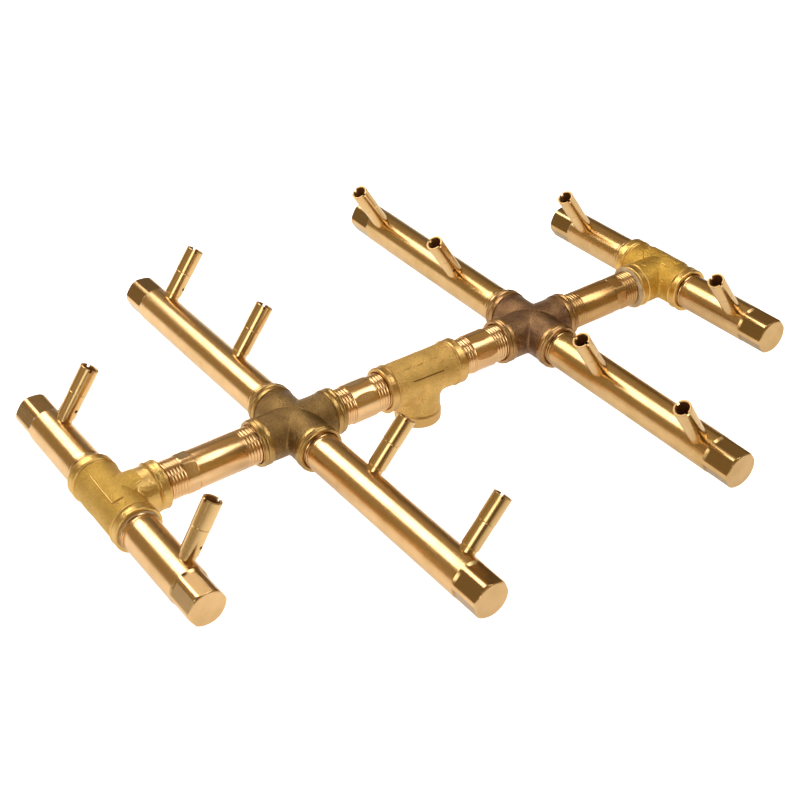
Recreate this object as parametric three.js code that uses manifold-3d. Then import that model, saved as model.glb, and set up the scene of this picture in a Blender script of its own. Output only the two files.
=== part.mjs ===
// Gas burner assembly built from half-inch brass pipe fittings, in millimetres.
// +X runs along the main line towards the right end tee, +Y towards the rear arms, +Z is up.
// The origin is the middle of the gas inlet's face, under the centre tee.
import * as THREE from 'three';
import { mergeVertices } from 'three/addons/utils/BufferGeometryUtils.js';
import Module from 'manifold-3d';

const wasm = await Module();
wasm.setup();

// ---- Layout of the pipe work ----
const AXIS_HEIGHT = 27.4; // inlet face to the middle of the main line
const CROSS_X = 82.7; // the two crosses sit this far either side of the inlet
const END_TEE_X = { left: -190.4, right: 187.0 }; // the threads did not pull up equally
const END_TEE_ROLL = { left: 1.4, right: -1.6 }; // degrees about the main line
const END_TEE_YAW = { left: -0.35, right: 0.15 }; // degrees about the vertical

// ---- Pipe and taper thread, half-inch size ----
const PIPE_RADIUS = 10.67;
const PIPE_BORE_RADIUS = 7.9;
const ROUND_SIDES = 20;
const THREAD_SIDES = 16; // sockets and the sealant in them
const SPIGOT_RADIUS = 9.7; // a male thread drawn at its pitch size
const SEAL_INNER_RADIUS = 10.2;
const SEAL_OUTER_RADIUS = 10.55;
const SOCKET_RADIUS = 10.95;
const SPIGOT_DEPTH = 13.0; // how far a male end reaches into its socket
const SOCKET_DEPTH = 14.5;
const SEAL_DEPTH = { from: 2.1, to: 12.0 };
const MOUTH_RADIUS = 11.5; // relief at the mouth of every socket
const MOUTH_DEPTH = 1.8;
const SHOULDER_DEPTH = 1.4; // full pipe size ends this far inside the mouth

// ---- Fittings ----
const WATERWAY_RADIUS = 8.2;
const WATERWAY_SIDES = 12;
const BODY_RADIUS = 12.7;
const COLLAR_LENGTH = 5.4;
const COLLAR_RISE = 0.8; // length of the slope up to the collar
const RIM_CHAMFER = { radial: 0.7, length: 1.0 };
const CENTRE_TEE = { run: 26.4, branch: AXIS_HEIGHT, collar: 13.4 };
const END_TEE = { run: 26.0, branch: 26.2, collar: 13.6 };
const CROSS = { run: 26.2, collar: 13.3 };
const BACK_PAD = { radius: 14.1, reach: 13.0 }; // thick back of the right end tee

// ---- Nipples ----
const SHORT_GRIP = { radius: 11.25, length: 15.0 }; // plain middle of a short nipple
const LONG_GRIP = { acrossFlats: 20.3, radius: 11.5, from: 11.4, length: 9.2 };

// ---- Arms and jets ----
const JET_FIRST = 64.5; // fitting centre to the first jet
const JET_PITCH = 76.2;
const ARM_END_MARGIN = 27.5; // last jet to the closed end
const HEX_LENGTH = 17.4;
const HEX_ACROSS_FLATS = 19.5;
const ARM_BORE_RADIUS = 6.6;
const ARM_END_WALL = 12.0;
const ARM_END_CHAMFER = 0.7;
const JET_SIDES = 12;
const JET_ROOT = { radius: 3.6, hole: 3.95, from: 7.4 };
const JET_STEM_RADIUS = 4.9;
const JET_TUBE_RADIUS = 5.05;
const JET_SEAM = 27.4; // measured from the arm's axis, like the three below
const JET_TIP = 42.2;
const JET_ORIFICE_TOP = 15.0;
const AIR_HOLE = { height: 18.0, radius: 0.95 };
const JET_BORE_RADIUS = 3.85;
const ORIFICE_RADIUS = 0.9;
const SLOT = { width: 1.5, depth: 1.6 };
const GAP = 0.3; // between neighbouring pieces
const OVERCUT = 1.0; // how far a cutter runs past the face it opens

// Each arm as it was screwed in: its jets' lean from the vertical towards the inlet,
// in degrees, and how far it stands out past its nominal place.
const ARM_SET = {
  long_left_rear: { lean: 35.7, out: 1.1 },
  long_left_front: { lean: 40.5, out: -0.8 },
  long_right_rear: { lean: 32.4, out: 1.2 },
  long_right_front: { lean: 31.8, out: -0.5 },
  short_left_rear: { lean: 34.0, out: 1.1 },
  short_left_front: { lean: 29.4, out: 0.4 },
  short_right_rear: { lean: 34.2, out: -1.1 },
  short_right_front: { lean: 34.6, out: 0.6 },
};

// Each jet as it was screwed in: where its air hole and its screwdriver slot point, in
// degrees, and how much deeper than the others it went.
const JET_SET = {
  long_left_rear_inner: { hole: 170, slot: -36, sunk: 0 },
  long_left_rear_outer: { hole: 21, slot: -28, sunk: 0 },
  long_left_front_inner: { hole: 160, slot: -43, sunk: 0 },
  long_left_front_outer: { hole: 205, slot: -46, sunk: 0 },
  long_right_rear_inner: { hole: -14, slot: 6, sunk: 1.6 },
  long_right_rear_outer: { hole: 150, slot: 5, sunk: 0 },
  long_right_front_inner: { hole: 185, slot: 4, sunk: 2.3 },
  long_right_front_outer: { hole: 165, slot: -11, sunk: 3.6 },
  short_left_rear: { hole: 12, slot: -22, sunk: 0 },
  short_left_front: { hole: 18, slot: 100, sunk: -0.7 },
  short_right_rear: { hole: 175, slot: -10, sunk: 0 },
  short_right_front: { hole: 195, slot: -6, sunk: 2.0 },
};

const COLOURS = {
  tee: 0xb08a36,
  darkFitting: 0x8a6a3c,
  pipe: 0xc09050,
  arm: 0xc8965a,
  jet: 0xc79c5e,
  seal: 0xb9aaa0,
};

// ---- Solids ----

function toManifold(geometry) {
  const bare = geometry.clone();
  bare.deleteAttribute('normal');
  bare.deleteAttribute('uv');
  const merged = mergeVertices(bare, 1e-4);
  return new wasm.Manifold(new wasm.Mesh({
    numProp: 3,
    vertProperties: new Float32Array(merged.attributes.position.array),
    triVerts: new Uint32Array(merged.index.array),
  }));
}

function toGeometry(manifold) {
  const mesh = manifold.getMesh();
  const geometry = new THREE.BufferGeometry();
  geometry.setAttribute('position', new THREE.BufferAttribute(mesh.vertProperties, 3));
  geometry.setIndex(new THREE.BufferAttribute(mesh.triVerts, 1));
  geometry.computeVertexNormals();
  return geometry;
}

// A solid of revolution about +Z from [radius, height] pairs that start and end on the axis.
function revolved(profile, sides) {
  const points = profile.map(([radius, height]) => new THREE.Vector2(radius, height));
  return new THREE.LatheGeometry(points, sides).rotateX(Math.PI / 2);
}

// A round bar about +Z between two heights.
function bar(radius, from, to, sides) {
  return revolved([[0, from], [radius, from], [radius, to], [0, to]], sides);
}

// A hexagonal bar about +Z with one corner in line with +X.
function hexBar(acrossFlats, from, to) {
  const cornerRadius = acrossFlats / Math.sqrt(3);
  return bar(cornerRadius, from, to, 6).rotateZ(Math.PI / 2);
}

// Turns a solid built about +Z so that it points along the given direction.
function aimed(geometry, direction) {
  const turn = new THREE.Quaternion().setFromUnitVectors(new THREE.Vector3(0, 0, 1), direction);
  return geometry.applyQuaternion(turn);
}

function united(geometries) {
  return geometries.map(toManifold).reduce((whole, piece) => whole.add(piece));
}

function cut(whole, geometries) {
  return geometries.map(toManifold).reduce((left, tool) => left.subtract(tool), whole);
}

// ---- Fittings ----

function portOuter(port) {
  const collarStart = port.face - COLLAR_LENGTH;
  return revolved([
    [0, -BODY_RADIUS / 2],
    [BODY_RADIUS, -BODY_RADIUS / 2],
    [BODY_RADIUS, collarStart - COLLAR_RISE],
    [port.collar, collarStart],
    [port.collar, port.face - RIM_CHAMFER.length],
    [port.collar - RIM_CHAMFER.radial, port.face],
    [0, port.face],
  ], ROUND_SIDES);
}

function portInner(port) {
  const { face } = port;
  return [
    bar(WATERWAY_RADIUS, -WATERWAY_RADIUS / 2, face, WATERWAY_SIDES),
    bar(SOCKET_RADIUS, face - SOCKET_DEPTH, face + OVERCUT, THREAD_SIDES),
    bar(MOUTH_RADIUS, face - MOUTH_DEPTH, face + OVERCUT, ROUND_SIDES),
  ];
}

// The half-round pad on the back of a tee whose branch points along the given direction.
function backPad(branch) {
  const { radius, reach } = BACK_PAD;
  const pad = toManifold(aimed(bar(radius, -reach, reach, ROUND_SIDES), AXES.rear));
  const branchSide = new THREE.BoxGeometry(2 * radius, 3 * reach, 3 * radius);
  branchSide.translate(branch.x * radius * 0.8, 0, 0);
  return cut(pad, [branchSide]);
}

function fitting(ports, pad) {
  const shell = united(ports.map((port) => aimed(portOuter(port), port.direction)));
  const body = pad ? shell.add(pad) : shell;
  const tools = ports.flatMap((port) => portInner(port).map((tool) => aimed(tool, port.direction)));
  return toGeometry(cut(body, tools));
}

const AXES = {
  right: new THREE.Vector3(1, 0, 0),
  left: new THREE.Vector3(-1, 0, 0),
  rear: new THREE.Vector3(0, 1, 0),
  front: new THREE.Vector3(0, -1, 0),
  down: new THREE.Vector3(0, 0, -1),
};

function port(side, face, collar) {
  return { side, face, collar, direction: AXES[side] };
}

// The sleeve of sealant between a male thread and its socket.
function sealant(face) {
  const from = face - SEAL_DEPTH.to;
  const to = face - SEAL_DEPTH.from;
  const sleeve = toManifold(bar(SEAL_OUTER_RADIUS, from, to, THREAD_SIDES));
  const core = bar(SEAL_INNER_RADIUS, from - OVERCUT, to + OVERCUT, THREAD_SIDES);
  return toGeometry(cut(sleeve, [core]));
}

// ---- Nipples, built along +Z with the middle of their length at the origin ----

function nippleOuter(exposed) {
  const half = exposed / 2;
  const reach = half + SPIGOT_DEPTH;
  const shoulder = half + SHOULDER_DEPTH;
  return revolved([
    [0, -reach],
    [SPIGOT_RADIUS, -reach],
    [SPIGOT_RADIUS, -shoulder],
    [PIPE_RADIUS, -shoulder],
    [PIPE_RADIUS, shoulder],
    [SPIGOT_RADIUS, shoulder],
    [SPIGOT_RADIUS, reach],
    [0, reach],
  ], ROUND_SIDES);
}

function nipple(exposed, grip) {
  const reach = exposed / 2 + SPIGOT_DEPTH + OVERCUT;
  const body = toManifold(nippleOuter(exposed)).add(grip);
  return toGeometry(cut(body, [bar(PIPE_BORE_RADIUS, -reach, reach, WATERWAY_SIDES)]));
}

function shortNipple(exposed) {
  const half = SHORT_GRIP.length / 2;
  return nipple(exposed, toManifold(bar(SHORT_GRIP.radius, -half, half, ROUND_SIDES)));
}

// The hexagonal grip of a long nipple sits near its upper end here, the end tee's end.
function longNipple(exposed) {
  const to = exposed / 2 - LONG_GRIP.from;
  const from = to - LONG_GRIP.length;
  const hexagon = toManifold(hexBar(LONG_GRIP.acrossFlats, from, to));
  const turned = toManifold(bar(LONG_GRIP.radius, from, to, ROUND_SIDES));
  return nipple(exposed, hexagon.intersect(turned));
}

// ---- Arms, built along +Z from the fitting's centre, with their jets along +X ----

function armEnd(jetCount) {
  return JET_FIRST + (jetCount - 1) * JET_PITCH + ARM_END_MARGIN;
}

function jetDistances(jetCount) {
  return Array.from({ length: jetCount }, (_, index) => JET_FIRST + index * JET_PITCH);
}

function arm(jetCount, face) {
  const end = armEnd(jetCount);
  const start = face - SPIGOT_DEPTH;
  const shoulder = face - SHOULDER_DEPTH;
  const hexStart = end - HEX_LENGTH;
  const round = toManifold(revolved([
    [0, start],
    [SPIGOT_RADIUS, start],
    [SPIGOT_RADIUS, shoulder],
    [PIPE_RADIUS, shoulder],
    [PIPE_RADIUS, hexStart],
    [0, hexStart],
  ], ROUND_SIDES));
  const hexagon = toManifold(hexBar(HEX_ACROSS_FLATS, hexStart - OVERCUT, end));
  const bevel = toManifold(revolved([
    [0, hexStart - 2 * OVERCUT],
    [PIPE_RADIUS, hexStart - 2 * OVERCUT],
    [PIPE_RADIUS, end - 2 * ARM_END_CHAMFER],
    [HEX_ACROSS_FLATS / 2 - ARM_END_CHAMFER, end],
    [0, end],
  ], ROUND_SIDES));
  const bore = bar(ARM_BORE_RADIUS, start - OVERCUT, end - ARM_END_WALL, WATERWAY_SIDES);
  const jetHoles = jetDistances(jetCount).map((distance) => {
    const hole = bar(JET_ROOT.hole, 0, PIPE_RADIUS + OVERCUT, JET_SIDES);
    return aimed(hole, AXES.right).translate(0, 0, distance);
  });
  return toGeometry(cut(round.add(hexagon.intersect(bevel)), [bore, ...jetHoles]));
}

// ---- Jets, built along +Z from the arm's axis, with angles counted from +X ----

function jetOuter(sunk) {
  return revolved([
    [0, JET_ROOT.from],
    [JET_STEM_RADIUS, JET_ROOT.from],
    [JET_STEM_RADIUS, JET_SEAM - sunk],
    [JET_TUBE_RADIUS, JET_SEAM - sunk + GAP],
    [JET_TUBE_RADIUS, JET_TIP - sunk],
    [0, JET_TIP - sunk],
  ], JET_SIDES);
}

// The arm under the jet, with its screw hole, taken out of the jet's foot.
function armUnderJet() {
  const reach = 2 * JET_STEM_RADIUS;
  const around = toManifold(aimed(bar(PIPE_RADIUS + GAP, -reach, reach, ROUND_SIDES), AXES.right));
  return around.subtract(toManifold(bar(JET_ROOT.radius, 0, JET_TIP, JET_SIDES)));
}

function jet({ hole, slot, sunk }) {
  const bore = bar(JET_BORE_RADIUS, JET_ORIFICE_TOP, JET_TIP + OVERCUT, JET_SIDES);
  const orifice = bar(ORIFICE_RADIUS, 0, JET_TIP, 8);
  const airHole = bar(AIR_HOLE.radius, 0, JET_STEM_RADIUS + OVERCUT, 8);
  aimed(airHole, AXES.right);
  airHole.rotateZ(THREE.MathUtils.degToRad(hole));
  airHole.translate(0, 0, AIR_HOLE.height - sunk);
  const slotTool = new THREE.BoxGeometry(4 * JET_TUBE_RADIUS, SLOT.width, 2 * SLOT.depth);
  slotTool.rotateZ(THREE.MathUtils.degToRad(slot));
  slotTool.translate(0, 0, JET_TIP - sunk);
  const body = toManifold(jetOuter(sunk)).subtract(armUnderJet());
  return toGeometry(cut(body, [bore, orifice, airHole, slotTool]));
}

// ---- Assembly ----

const burner = new THREE.Group();

function addMesh(parent, name, geometry, colour, roughness) {
  const material = new THREE.MeshStandardMaterial({ color: colour, roughness, metalness: 1 });
  const mesh = new THREE.Mesh(geometry, material);
  mesh.name = name;
  parent.add(mesh);
  return mesh;
}

function addFitting(name, ports, place, colour, pad) {
  const group = new THREE.Group();
  group.position.set(place.x, 0, AXIS_HEIGHT);
  group.rotation.x = THREE.MathUtils.degToRad(place.roll ?? 0);
  group.rotation.z = THREE.MathUtils.degToRad(place.yaw ?? 0);
  burner.add(group);
  addMesh(group, name, fitting(ports, pad), colour, 0.5);
  for (const { side, face, direction } of ports.filter((each) => each.side !== 'down')) {
    const sleeve = aimed(sealant(face), direction);
    const mesh = addMesh(group, `sealant_${name}_${side}`, sleeve, COLOURS.seal, 0.8);
    mesh.material.metalness = 0;
  }
  return group;
}

// Stands a mesh in its group with its own +Z along one direction and +X along another.
function stand(mesh, alongZ, alongX) {
  const alongY = new THREE.Vector3().crossVectors(alongZ, alongX);
  const basis = new THREE.Matrix4().makeBasis(alongX, alongY, alongZ);
  mesh.quaternion.setFromRotationMatrix(basis);
}

function addArm(group, kind, side, end, face) {
  const name = `${kind}_${side}_${end}`;
  const jetCount = kind === 'long' ? 2 : 1;
  const { lean, out } = ARM_SET[name];
  const angle = THREE.MathUtils.degToRad(lean);
  const towardsInlet = side === 'left' ? 1 : -1;
  const outward = AXES[end];
  const jetDirection = new THREE.Vector3(towardsInlet * Math.sin(angle), 0, Math.cos(angle));
  const body = addMesh(group, `arm_${name}`, arm(jetCount, face - out), COLOURS.arm, 0.35);
  body.position.copy(outward).multiplyScalar(out);
  stand(body, outward, jetDirection);
  jetDistances(jetCount).forEach((distance, index) => {
    const place = jetCount === 2 ? `_${['inner', 'outer'][index]}` : '';
    const shape = jet(JET_SET[name + place]);
    const mesh = addMesh(group, `jet_${name}${place}`, shape, COLOURS.jet, 0.3);
    mesh.position.copy(outward).multiplyScalar(distance + out);
    stand(mesh, jetDirection, AXES.front);
  });
}

function addNipple(name, geometry, from, to) {
  const mesh = addMesh(burner, name, geometry, COLOURS.pipe, 0.35);
  mesh.position.set((from + to) / 2, 0, AXIS_HEIGHT);
  stand(mesh, to > from ? AXES.right : AXES.left, AXES.front);
}

addFitting('center_tee', [
  port('left', CENTRE_TEE.run, CENTRE_TEE.collar),
  port('right', CENTRE_TEE.run, CENTRE_TEE.collar),
  port('down', CENTRE_TEE.branch, CENTRE_TEE.collar),
], { x: 0 }, COLOURS.tee);

for (const side of ['left', 'right']) {
  const sign = side === 'left' ? -1 : 1;
  const inward = side === 'left' ? 'right' : 'left';
  const crossPorts = ['left', 'right', 'rear', 'front'].map((each) => port(each, CROSS.run, CROSS.collar));
  const cross = addFitting(`cross_${side}`, crossPorts, { x: sign * CROSS_X }, COLOURS.darkFitting);
  const endPlace = { x: END_TEE_X[side], roll: END_TEE_ROLL[side], yaw: END_TEE_YAW[side] };
  const endTee = addFitting(`end_tee_${side}`, [
    port('rear', END_TEE.run, END_TEE.collar),
    port('front', END_TEE.run, END_TEE.collar),
    port(inward, END_TEE.branch, END_TEE.collar),
  ], endPlace, COLOURS.tee, side === 'right' && backPad(AXES[inward]));

  for (const end of ['rear', 'front']) {
    addArm(cross, 'long', side, end, CROSS.run);
    addArm(endTee, 'short', side, end, END_TEE.run);
  }

  const tee = CENTRE_TEE.run;
  const crossInner = CROSS_X - CROSS.run;
  const crossOuter = CROSS_X + CROSS.run;
  const endInner = Math.abs(END_TEE_X[side]) - END_TEE.branch;
  addNipple(`short_nipple_${side}`, shortNipple(crossInner - tee), sign * tee, sign * crossInner);
  addNipple(`long_nipple_${side}`, longNipple(endInner - crossOuter), sign * crossOuter, sign * endInner);
}

export default burner;
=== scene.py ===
import itertools
import math

import bpy
import numpy as np
from mathutils import Matrix, Vector


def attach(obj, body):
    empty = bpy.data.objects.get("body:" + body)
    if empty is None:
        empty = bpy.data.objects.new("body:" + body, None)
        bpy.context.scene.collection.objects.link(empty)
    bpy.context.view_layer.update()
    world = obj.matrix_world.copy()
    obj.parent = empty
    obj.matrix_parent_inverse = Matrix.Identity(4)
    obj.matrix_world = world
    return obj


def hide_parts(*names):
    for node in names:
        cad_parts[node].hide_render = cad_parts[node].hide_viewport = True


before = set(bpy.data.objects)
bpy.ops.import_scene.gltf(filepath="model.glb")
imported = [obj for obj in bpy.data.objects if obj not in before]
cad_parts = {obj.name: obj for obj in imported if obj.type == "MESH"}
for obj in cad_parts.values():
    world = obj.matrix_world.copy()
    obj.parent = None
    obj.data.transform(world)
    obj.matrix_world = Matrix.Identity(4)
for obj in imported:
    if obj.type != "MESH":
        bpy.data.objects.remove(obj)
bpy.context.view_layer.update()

MM = 0.001
TAU = 2 * math.pi

# ---- Layout, in millimetres and degrees, as in the CAD ----
AXIS_HEIGHT = 27.4
CROSS_X = 82.7
END_TEE_X = {"left": -190.4, "right": 187.0}
END_TEE_ROLL = {"left": 1.4, "right": -1.6}
END_TEE_YAW = {"left": -0.35, "right": 0.15}
PIPE_R = 10.67
SPIGOT_R = 9.7
SPIGOT_DEPTH = 13.0
BODY_R = 12.7
WATERWAY_R = 8.2
TEE_RUN, TEE_BRANCH = 26.4, AXIS_HEIGHT
END_RUN, END_BRANCH = 26.0, 26.2
CROSS_RUN = 26.2
JET_FIRST, JET_PITCH, ARM_END_MARGIN = 64.5, 76.2, 27.5
PITCH = 25.4 / 14  # half-inch taper pipe thread
ARM_SET = {  # lean of the jets, and how far the arm stands out past its nominal place
    "long_left_rear": (35.7, 1.1),
    "long_left_front": (40.5, -0.8),
    "long_right_rear": (32.4, 1.2),
    "long_right_front": (31.8, -0.5),
    "short_left_rear": (34.0, 1.1),
    "short_left_front": (29.4, 0.4),
    "short_right_rear": (34.2, -1.1),
    "short_right_front": (34.6, 0.6),
}
JET_SET = {  # where the air hole and the slot point, and how much deeper the jet sits
    "long_left_rear_inner": (170, -36, 0.0),
    "long_left_rear_outer": (21, -28, 0.0),
    "long_left_front_inner": (160, -43, 0.0),
    "long_left_front_outer": (205, -46, 0.0),
    "long_right_rear_inner": (-14, 6, 1.6),
    "long_right_rear_outer": (150, 5, 0.0),
    "long_right_front_inner": (185, 4, 2.3),
    "long_right_front_outer": (165, -11, 3.6),
    "short_left_rear": (12, -22, 0.0),
    "short_left_front": (18, 100, -0.7),
    "short_right_rear": (175, -10, 0.0),
    "short_right_front": (195, -6, 2.0),
}

X, Y, Z = np.eye(3)
SIDE = {"right": X, "left": -X, "rear": Y, "front": -Y}
SIGN = {"left": -1, "right": 1}
JET_ENDINGS = {"long": ("_inner", "_outer"), "short": ("",)}


# ---- Placing ----

def turn(axis, degrees):
    """Rotation about an axis through the origin."""
    a = math.radians(degrees)
    k = np.array([[0, -axis[2], axis[1]], [axis[2], 0, -axis[0]], [-axis[1], axis[0], 0]])
    return np.eye(3) + math.sin(a) * k + (1 - math.cos(a)) * (k @ k)


def place(axes, at):
    """The matrix that puts a piece with these axes at a point."""
    m = np.eye(4)
    m[:3, :3] = axes
    m[:3, 3] = at
    return m


def basis(along_z, along_x):
    """Axes of a piece whose own Z and X point the ways given."""
    return np.stack([along_x, np.cross(along_z, along_x), along_z], axis=1)


def fitting_place(x, roll=0.0, yaw=0.0):
    return place(turn(X, roll) @ turn(Z, yaw), (x, 0, AXIS_HEIGHT))


# ---- Meshes ----

def show(name, data):
    """A new object in the scene."""
    obj = bpy.data.objects.new(name, data)
    bpy.context.scene.collection.objects.link(obj)
    return obj


def mesh_of(name, verts, faces, at):
    """Mesh data from local points in millimetres."""
    mesh = bpy.data.meshes.new(name)
    mesh.from_pydata((np.asarray(verts, float) @ at[:3, :3].T + at[:3, 3]) * MM, [], faces)
    return mesh


def read(items, field, width=1, kind=float):
    """One field of every item as an array, in rows where it has more than one number."""
    values = np.zeros(len(items) * width, kind)
    items.foreach_get(field, values)
    return values.reshape(-1, width) if width > 1 else values


def store(mesh, name, values):
    """Numbers, or rows of three, kept on the mesh's points for the materials to read."""
    kind, field = ("FLOAT", "value") if values.ndim == 1 else ("FLOAT_VECTOR", "vector")
    kept = mesh.attributes.new(name, kind, "POINT")
    kept.data.foreach_set(field, values.astype(np.float32).ravel())


def make(name, verts, faces, at, material, nodes, slot):
    """A piece from local points in millimetres."""
    mesh = mesh_of(name, verts, faces, at)
    mesh.materials.append(material)
    obj = show(name, mesh)
    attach(obj, "root")
    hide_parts(*nodes)
    return obj


def finish_mesh(obj, sharp, at, soft=()):
    """Smooth shading with sharp edges, except in the soft stretches of a thread, and each
    point's own place in the piece kept for its material."""
    mesh = obj.data
    mesh.shade_smooth()
    mesh.set_sharp_from_angle(angle=math.radians(sharp))
    local = (read(mesh.vertices, "co", 3) / MM - at[:3, 3]) @ at[:3, :3]
    store(mesh, "local", local)
    if soft:
        height = local[read(mesh.edges, "vertices", 2, int), 2]
        edge = read(mesh.edges, "use_edge_sharp", kind=bool)
        for low, high in soft:
            edge &= ~((height > low) & (height < high)).all(axis=1)
        mesh.edges.foreach_set("use_edge_sharp", edge)
    return local


def lathe(rings, sides, closed=False):
    """Faces round rings of (radius, height), each a number or an array over the sides. The ends
    are capped, or the last ring joins the first."""
    angle = np.arange(sides) * TAU / sides
    points = []
    for radius, height in rings:
        r = np.broadcast_to(np.asarray(radius, float), sides)
        h = np.broadcast_to(np.asarray(height, float), sides)
        points.append(np.stack([r * np.cos(angle), r * np.sin(angle), h], axis=1))
    verts = np.concatenate(points)
    n = len(rings)
    faces = []
    for i in range(n if closed else n - 1):
        a, b = i * sides, (i + 1) % n * sides
        for j in range(sides):
            k = (j + 1) % sides
            faces.append((a + j, a + k, b + k, b + j))
    if not closed:
        low, high = len(verts), len(verts) + 1
        ends = [[0, 0, points[0][:, 2].mean()], [0, 0, points[-1][:, 2].mean()]]
        verts = np.concatenate([verts, ends])
        top = (n - 1) * sides
        for j in range(sides):
            k = (j + 1) % sides
            faces.append((low, k, j))
            faces.append((high, top + j, top + k))
    return verts, faces


def cut(obj, verts, faces, at):
    """Takes a closed cutter, given in local millimetres, out of a piece."""
    mesh = mesh_of("cutter", verts, faces, at)
    cutter = show("cutter", mesh)
    step = obj.modifiers.new("cut", "BOOLEAN")
    step.operation = "DIFFERENCE"
    step.solver = "EXACT"
    step.object = cutter
    done = bpy.data.meshes.new_from_object(obj.evaluated_get(bpy.context.evaluated_depsgraph_get()))
    obj.modifiers.clear()
    old, obj.data = obj.data, done
    bpy.data.meshes.remove(old)
    bpy.data.objects.remove(cutter)
    bpy.data.meshes.remove(mesh)


def rod(radius, low, high, sides):
    return lathe([(radius, low), (radius, high)], sides)


# ---- Forged fittings: smooth solids given by their distance, then meshed ----

def smooth_min(a, b, k):
    h = np.clip(0.5 + 0.5 * (b - a) / np.maximum(k, 1e-6), 0, 1)
    return b + (a - b) * h - k * h * (1 - h)


def smooth_max(a, b, k):
    return -smooth_min(-a, -b, k)


def smooth_step(x, low, high):
    t = np.clip((x - low) / (high - low), 0, 1)
    return t * t * (3 - 2 * t)


# The forged bodies and their sockets, in millimetres.
BACK_THINNING, BACK_FADE = 2.0, 8  # how much smaller the round end behind a port is, and how soon
BODY_STOP, BODY_STOP_ROUND = 1.2, 0.7  # the body ends this far inside the collar's rim, rounded off
SOCKET_DEPTH, SOCKET_R = 14.5, 11.0
MOUTH_DEPTH, MOUTH_R = 5.0, 11.6  # wider part of the socket, that the collar's own thread fills
CROTCH_MIN, BORE_ROUND = 0.05, 0.35  # least fillet between two bodies, and the bores' edge rounding
SLOPE_STEP = 0.02
FLATTEST = 0.2  # least squared slope that a step towards the surface is worked out from
NET_CELL, NET_MARGIN = 0.3, 0.6
NET_REACH = 0.35  # how far a corner may move at a time, as a part of its cell
LINE_LIFT = 0.2  # how far a raised line stands off the skin
SCORE_SHALLOW, SCORE_DEEP = 0.05, 0.2  # depths in a scored line where the painted shade starts and where it is full
SKIN_NEAR, SKIN_AGREES = 0.02, 0.8  # which points and faces count as forged skin
FORGING_SHARP = 32  # degrees between faces that leave a sharp edge


class Port:
    """The plain body round one pipe opening, or round a pair that face opposite ways."""

    def __init__(self, axis, face, paired):
        self.axis = np.asarray(axis, float)
        self.face = face
        self.paired = paired

    def split(self, p):
        """Distance out along the axis, distance from it, and the direction away from it."""
        s = p @ self.axis
        out = p - s[:, None] * self.axis
        radius = np.linalg.norm(out, axis=1)
        normal = out / np.maximum(radius, 1e-6)[:, None]
        return (np.abs(s) if self.paired else s), radius, normal

    def outer(self, s, radius):
        back = np.hypot(radius, np.minimum(s, 0))
        wall = back - BODY_R + BACK_THINNING * smooth_step(-s, 0, BACK_FADE)
        return smooth_max(wall, s - self.face + BODY_STOP, BODY_STOP_ROUND)

    def inner(self, s, radius):
        back = np.hypot(radius, np.minimum(s, 0))
        bore = np.where(s > self.face - SOCKET_DEPTH, SOCKET_R, WATERWAY_R)
        return back - np.where(s > self.face - MOUTH_DEPTH, MOUTH_R, bore)


# Turned collars, from where they leave the body to the rim: (radius, distance from the centre).
CROSS_COLLAR = [
    (12.3, 19.9), (12.55, 20.25), (13.12, 20.4), (13.24, 20.7), (13.27, 21.6), (13.24, 22.7),
    (13.1, 23.15), (12.86, 23.4), (12.78, 23.6), (12.88, 23.82), (13.2, 24.12), (13.33, 24.45),
    (13.24, 24.78), (12.98, 25.1), (12.76, 25.45), (12.72, 25.7), (12.86, 25.9), (12.86, 26.1),
    (12.7, 26.2),
]
TEE_COLLAR = [
    (12.3, 19.3), (12.7, 19.75), (12.86, 20.0), (13.3, 20.2), (13.44, 20.4), (13.44, 20.58),
    (13.25, 20.8), (12.82, 21.05), (12.74, 21.25), (12.82, 21.45), (13.06, 21.75), (13.14, 22.2),
    (13.18, 23.2), (13.24, 24.6), (13.34, 24.9), (13.34, 25.5), (13.2, 25.85), (12.95, 26.1),
    (12.6, 26.2),
]
INLET_COLLAR = [
    (12.3, 19.4), (12.72, 20.2), (12.95, 20.7), (13.2, 21.05), (13.3, 21.5), (13.34, 26.2),
    (13.25, 26.8), (13.0, 27.25), (12.7, 27.4),
]


COLLAR_SIDES = 144
COLLAR_TURN = np.arange(COLLAR_SIDES) / COLLAR_SIDES
COLLAR_MOUTH = [(11.9, 0.0), (11.3, 0.2), (10.95, 0.7), (10.9, 2.2)]  # radius, depth below the rim
COLLAR_BACK_R = 11.4
INNER_THREAD = {"radius": 10.95, "depth": 0.5, "from": 2.6, "step": 0.36}


def tooth(phase):
    """0 on a thread's rounded crest and 1 at its root."""
    return (0.5 - 0.5 * np.cos(TAU * phase)) ** 1.7


def collar(profile, axis, face):
    """A closed ring: the turned collar outside, the socket's mouth and thread inside."""
    shift = face - profile[-1][1]
    rings = [(radius, height + shift) for radius, height in profile]
    rings += [(radius, face - depth) for radius, depth in COLLAR_MOUTH]
    start = rings[0][1]
    for z in np.arange(face - INNER_THREAD["from"], start, -INNER_THREAD["step"]):
        rise = INNER_THREAD["depth"] * tooth(z / PITCH + COLLAR_TURN)
        rings.append((INNER_THREAD["radius"] - rise, z))
    rings.append((COLLAR_BACK_R, start))
    verts, faces = lathe(rings[::-1], COLLAR_SIDES, closed=True)
    across = Z if abs(axis @ Z) < 0.5 else X
    return verts @ basis(axis, across).T, faces


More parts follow.
